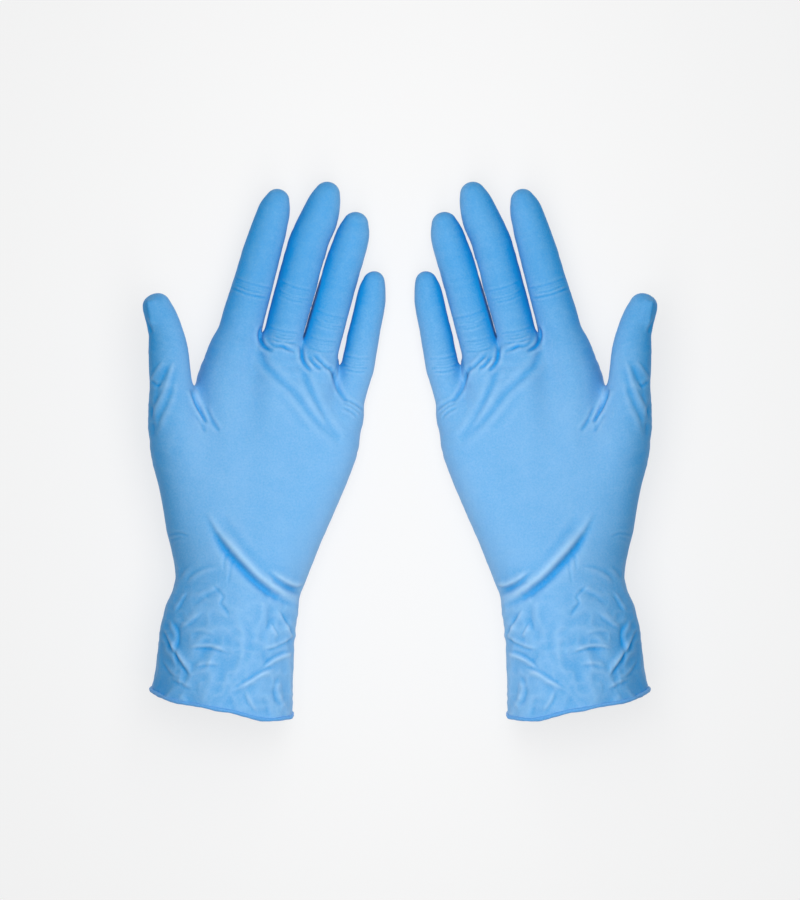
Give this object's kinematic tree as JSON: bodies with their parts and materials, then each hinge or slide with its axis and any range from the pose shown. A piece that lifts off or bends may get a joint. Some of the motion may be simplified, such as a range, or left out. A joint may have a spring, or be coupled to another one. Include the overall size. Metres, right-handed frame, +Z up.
{
  "type": "rubber gloves",
  "caption": "Pair of thin light blue disposable gloves holding the shape of a hand, palms up, with bending fingers, thumbs and wrists, crumpled open cuffs and a rolled bead at the hem.",
  "frame": {"origin": "middle of the pair on the level it lies on: X = 0 is the plane between the two gloves, Y = 0 is half-way from the hems to the middle fingertips, and Z = 0 is the level under the backs of the gloves", "axes": "+Y from the cuffs to the fingertips, +Z up out of the palms, +X from the left glove to the right glove"},
  "size_m": [0.2318, 0.2406, 0.0492],
  "materials": {
    "film": "satin",
    "bead": "satin"
  },
  "bodies": {
    "left_palm": {"left_palm": "film"},
    "left_cuff": {"left_cuff": "film", "left_cuff_bead": "bead"},
    "left_thumb_root": {"left_thumb_root": "film"},
    "left_thumb_mid": {"left_thumb_mid": "film"},
    "left_thumb_tip": {"left_thumb_tip": "film"},
    "left_index_base": {"left_index_base": "film"},
    "left_index_mid": {"left_index_mid": "film"},
    "left_index_tip": {"left_index_tip": "film"},
    "left_middle_base": {"left_middle_base": "film"},
    "left_middle_mid": {"left_middle_mid": "film"},
    "left_middle_tip": {"left_middle_tip": "film"},
    "left_ring_base": {"left_ring_base": "film"},
    "left_ring_mid": {"left_ring_mid": "film"},
    "left_ring_tip": {"left_ring_tip": "film"},
    "left_little_base": {"left_little_base": "film"},
    "left_little_mid": {"left_little_mid": "film"},
    "left_little_tip": {"left_little_tip": "film"},
    "right_palm": {"right_palm": "film"},
    "right_cuff": {"right_cuff": "film", "right_cuff_bead": "bead"},
    "right_thumb_root": {"right_thumb_root": "film"},
    "right_thumb_mid": {"right_thumb_mid": "film"},
    "right_thumb_tip": {"right_thumb_tip": "film"},
    "right_index_base": {"right_index_base": "film"},
    "right_index_mid": {"right_index_mid": "film"},
    "right_index_tip": {"right_index_tip": "film"},
    "right_middle_base": {"right_middle_base": "film"},
    "right_middle_mid": {"right_middle_mid": "film"},
    "right_middle_tip": {"right_middle_tip": "film"},
    "right_ring_base": {"right_ring_base": "film"},
    "right_ring_mid": {"right_ring_mid": "film"},
    "right_ring_tip": {"right_ring_tip": "film"},
    "right_little_base": {"right_little_base": "film"},
    "right_little_mid": {"right_little_mid": "film"},
    "right_little_tip": {"right_little_tip": "film"}
  },
  "joints": [
    {"name": "left_wrist_bend", "type": "hinge", "parent": "left_palm", "child": "left_cuff", "pos_m": [-0.0729, -0.058, 0.0205], "axis": [-0.9903, 0.1392, 0], "range_deg": [-50, 60], "stiffness_Nm_per_rad": 0.01},
    {"name": "left_thumb_swing", "type": "hinge", "parent": "left_palm", "child": "left_thumb_root", "pos_m": [-0.088, -0.045, 0.02], "axis": [0.0615, -0.9977, 0.0273], "range_deg": [-40, 0], "stiffness_Nm_per_rad": 0.004},
    {"name": "left_thumb_bend", "type": "hinge", "parent": "left_thumb_root", "child": "left_thumb_mid", "pos_m": [-0.1033, 0.031, 0.025], "axis": [-0.6691, 0, 0.7431], "range_deg": [-40, 0], "stiffness_Nm_per_rad": 0.003},
    {"name": "left_thumb_tip_bend", "type": "hinge", "parent": "left_thumb_mid", "child": "left_thumb_tip", "pos_m": [-0.1044, 0.046, 0.0265], "axis": [-0.6691, 0, 0.7431], "range_deg": [-60, 0], "stiffness_Nm_per_rad": 0.002},
    {"name": "left_index_base_bend", "type": "hinge", "parent": "left_palm", "child": "left_index_base", "pos_m": [-0.0738, 0.05, 0.013], "axis": [0.9588, -0.284, 0], "range_deg": [-10, 70], "stiffness_Nm_per_rad": 0.004},
    {"name": "left_index_mid_bend", "type": "hinge", "parent": "left_index_base", "child": "left_index_mid", "pos_m": [-0.06684, 0.07349, 0.013], "axis": [0.9588, -0.284, 0], "range_deg": [0, 75], "stiffness_Nm_per_rad": 0.003},
    {"name": "left_index_tip_bend", "type": "hinge", "parent": "left_index_mid", "child": "left_index_tip", "pos_m": [-0.06103, 0.09312, 0.01407], "axis": [0.9588, -0.284, 0], "range_deg": [0, 45], "stiffness_Nm_per_rad": 0.002},
    {"name": "left_middle_base_bend", "type": "hinge", "parent": "left_palm", "child": "left_middle_base", "pos_m": [-0.0531, 0.048, 0.013], "axis": [0.9636, -0.2672, 0], "range_deg": [-10, 70], "stiffness_Nm_per_rad": 0.004},
    {"name": "left_middle_mid_bend", "type": "hinge", "parent": "left_middle_base", "child": "left_middle_mid", "pos_m": [-0.04695, 0.07016, 0.013], "axis": [0.9636, -0.2672, 0], "range_deg": [0, 75], "stiffness_Nm_per_rad": 0.003},
    {"name": "left_middle_tip_bend", "type": "hinge", "parent": "left_middle_mid", "child": "left_middle_tip", "pos_m": [-0.04055, 0.09326, 0.01426], "axis": [0.9636, -0.2672, 0], "range_deg": [0, 45], "stiffness_Nm_per_rad": 0.002},
    {"name": "left_ring_base_bend", "type": "hinge", "parent": "left_palm", "child": "left_ring_base", "pos_m": [-0.0369, 0.0414, 0.0125], "axis": [0.9613, -0.2756, 0], "range_deg": [-10, 70], "stiffness_Nm_per_rad": 0.004},
    {"name": "left_ring_mid_bend", "type": "hinge", "parent": "left_ring_base", "child": "left_ring_mid", "pos_m": [-0.03199, 0.05851, 0.0125], "axis": [0.9613, -0.2756, 0], "range_deg": [0, 75], "stiffness_Nm_per_rad": 0.003},
    {"name": "left_ring_tip_bend", "type": "hinge", "parent": "left_ring_mid", "child": "left_ring_tip", "pos_m": [-0.02539, 0.08155, 0.01376], "axis": [0.9613, -0.2756, 0], "range_deg": [0, 45], "stiffness_Nm_per_rad": 0.002},
    {"name": "left_little_base_bend", "type": "hinge", "parent": "left_palm", "child": "left_little_base", "pos_m": [-0.0223, 0.022, 0.012], "axis": [0.9816, -0.1908, 0], "range_deg": [-10, 70], "stiffness_Nm_per_rad": 0.004},
    {"name": "left_little_mid_bend", "type": "hinge", "parent": "left_little_base", "child": "left_little_mid", "pos_m": [-0.01932, 0.03731, 0.012], "axis": [0.9816, -0.1908, 0], "range_deg": [0, 75], "stiffness_Nm_per_rad": 0.003},
    {"name": "left_little_tip_bend", "type": "hinge", "parent": "left_little_mid", "child": "left_little_tip", "pos_m": [-0.01561, 0.05643, 0.01302], "axis": [0.9816, -0.1908, 0], "range_deg": [0, 45], "stiffness_Nm_per_rad": 0.002},
    {"name": "pair_spread", "type": "slide", "parent": "left_palm", "child": "right_palm", "axis": [1, 0, 0], "range_m": [0, 0.1]},
    {"name": "right_wrist_bend", "type": "hinge", "parent": "right_palm", "child": "right_cuff", "pos_m": [0.0729, -0.058, 0.0205], "axis": [-0.9903, -0.1392, 0], "range_deg": [-50, 60], "stiffness_Nm_per_rad": 0.01},
    {"name": "right_thumb_swing", "type": "hinge", "parent": "right_palm", "child": "right_thumb_root", "pos_m": [0.088, -0.045, 0.02], "axis": [0.0615, 0.9977, -0.0273], "range_deg": [-40, 0], "stiffness_Nm_per_rad": 0.004},
    {"name": "right_thumb_bend", "type": "hinge", "parent": "right_thumb_root", "child": "right_thumb_mid", "pos_m": [0.1033, 0.031, 0.025], "axis": [-0.6691, 0, -0.7431], "range_deg": [-40, 0], "stiffness_Nm_per_rad": 0.003},
    {"name": "right_thumb_tip_bend", "type": "hinge", "parent": "right_thumb_mid", "child": "right_thumb_tip", "pos_m": [0.1044, 0.046, 0.0265], "axis": [-0.6691, 0, -0.7431], "range_deg": [-60, 0], "stiffness_Nm_per_rad": 0.002},
    {"name": "right_index_base_bend", "type": "hinge", "parent": "right_palm", "child": "right_index_base", "pos_m": [0.0738, 0.05, 0.013], "axis": [0.9588, 0.284, 0], "range_deg": [-10, 70], "stiffness_Nm_per_rad": 0.004},
    {"name": "right_index_mid_bend", "type": "hinge", "parent": "right_index_base", "child": "right_index_mid", "pos_m": [0.06684, 0.07349, 0.013], "axis": [0.9588, 0.284, 0], "range_deg": [0, 75], "stiffness_Nm_per_rad": 0.003},
    {"name": "right_index_tip_bend", "type": "hinge", "parent": "right_index_mid", "child": "right_index_tip", "pos_m": [0.06103, 0.09312, 0.01407], "axis": [0.9588, 0.284, 0], "range_deg": [0, 45], "stiffness_Nm_per_rad": 0.002},
    {"name": "right_middle_base_bend", "type": "hinge", "parent": "right_palm", "child": "right_middle_base", "pos_m": [0.0531, 0.048, 0.013], "axis": [0.9636, 0.2672, 0], "range_deg": [-10, 70], "stiffness_Nm_per_rad": 0.004},
    {"name": "right_middle_mid_bend", "type": "hinge", "parent": "right_middle_base", "child": "right_middle_mid", "pos_m": [0.04695, 0.07016, 0.013], "axis": [0.9636, 0.2672, 0], "range_deg": [0, 75], "stiffness_Nm_per_rad": 0.003},
    {"name": "right_middle_tip_bend", "type": "hinge", "parent": "right_middle_mid", "child": "right_middle_tip", "pos_m": [0.04055, 0.09326, 0.01426], "axis": [0.9636, 0.2672, 0], "range_deg": [0, 45], "stiffness_Nm_per_rad": 0.002},
    {"name": "right_ring_base_bend", "type": "hinge", "parent": "right_palm", "child": "right_ring_base", "pos_m": [0.0369, 0.0414, 0.0125], "axis": [0.9613, 0.2756, 0], "range_deg": [-10, 70], "stiffness_Nm_per_rad": 0.004},
    {"name": "right_ring_mid_bend", "type": "hinge", "parent": "right_ring_base", "child": "right_ring_mid", "pos_m": [0.03199, 0.05851, 0.0125], "axis": [0.9613, 0.2756, 0], "range_deg": [0, 75], "stiffness_Nm_per_rad": 0.003},
    {"name": "right_ring_tip_bend", "type": "hinge", "parent": "right_ring_mid", "child": "right_ring_tip", "pos_m": [0.02539, 0.08155, 0.01376], "axis": [0.9613, 0.2756, 0], "range_deg": [0, 45], "stiffness_Nm_per_rad": 0.002},
    {"name": "right_little_base_bend", "type": "hinge", "parent": "right_palm", "child": "right_little_base", "pos_m": [0.0223, 0.022, 0.012], "axis": [0.9816, 0.1908, 0], "range_deg": [-10, 70], "stiffness_Nm_per_rad": 0.004},
    {"name": "right_little_mid_bend", "type": "hinge", "parent": "right_little_base", "child": "right_little_mid", "pos_m": [0.01932, 0.03731, 0.012], "axis": [0.9816, 0.1908, 0], "range_deg": [0, 75], "stiffness_Nm_per_rad": 0.003},
    {"name": "right_little_tip_bend", "type": "hinge", "parent": "right_little_mid", "child": "right_little_tip", "pos_m": [0.01561, 0.05643, 0.01302], "axis": [0.9816, 0.1908, 0], "range_deg": [0, 45], "stiffness_Nm_per_rad": 0.002}
  ],
  "couplings": [
    {"joint": "left_index_tip_bend", "follows": "left_index_mid_bend", "ratio": 0.6},
    {"joint": "left_middle_tip_bend", "follows": "left_middle_mid_bend", "ratio": 0.6},
    {"joint": "left_ring_tip_bend", "follows": "left_ring_mid_bend", "ratio": 0.6},
    {"joint": "left_little_tip_bend", "follows": "left_little_mid_bend", "ratio": 0.6},
    {"joint": "right_index_tip_bend", "follows": "right_index_mid_bend", "ratio": 0.6},
    {"joint": "right_middle_tip_bend", "follows": "right_middle_mid_bend", "ratio": 0.6},
    {"joint": "right_ring_tip_bend", "follows": "right_ring_mid_bend", "ratio": 0.6},
    {"joint": "right_little_tip_bend", "follows": "right_little_mid_bend", "ratio": 0.6}
  ]
}
